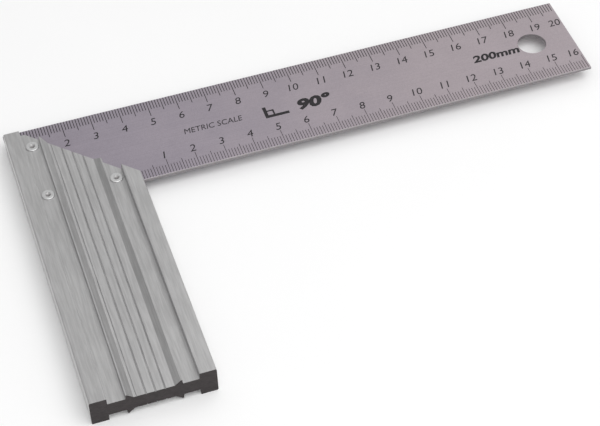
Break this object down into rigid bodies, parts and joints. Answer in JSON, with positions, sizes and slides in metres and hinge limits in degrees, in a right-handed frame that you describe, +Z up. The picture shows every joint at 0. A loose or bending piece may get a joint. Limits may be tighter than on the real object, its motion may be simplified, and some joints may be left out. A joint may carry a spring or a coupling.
{
  "type": "try square",
  "caption": "Try square with a graduated steel blade riveted at right angles into a slotted, mitred aluminium stock.",
  "frame": {"origin": "the inside corner at the base: where the stock's working face, the blade's inner edge and the plane the square lies on meet", "axes": "+X along the blade to its free end, +Y across the blade to its outer edge, +Z up off the surface that the square lies on; the stock runs along -Y"},
  "size_m": [0.2, 0.1236, 0.0098],
  "materials": {
    "stock": "satin",
    "blade": "satin",
    "rivets": "satin",
    "marking": "matte"
  },
  "bodies": {
    "root": {"stock": "stock", "blade": "blade", "rivets": "rivets"}
  },
  "joints": []
}
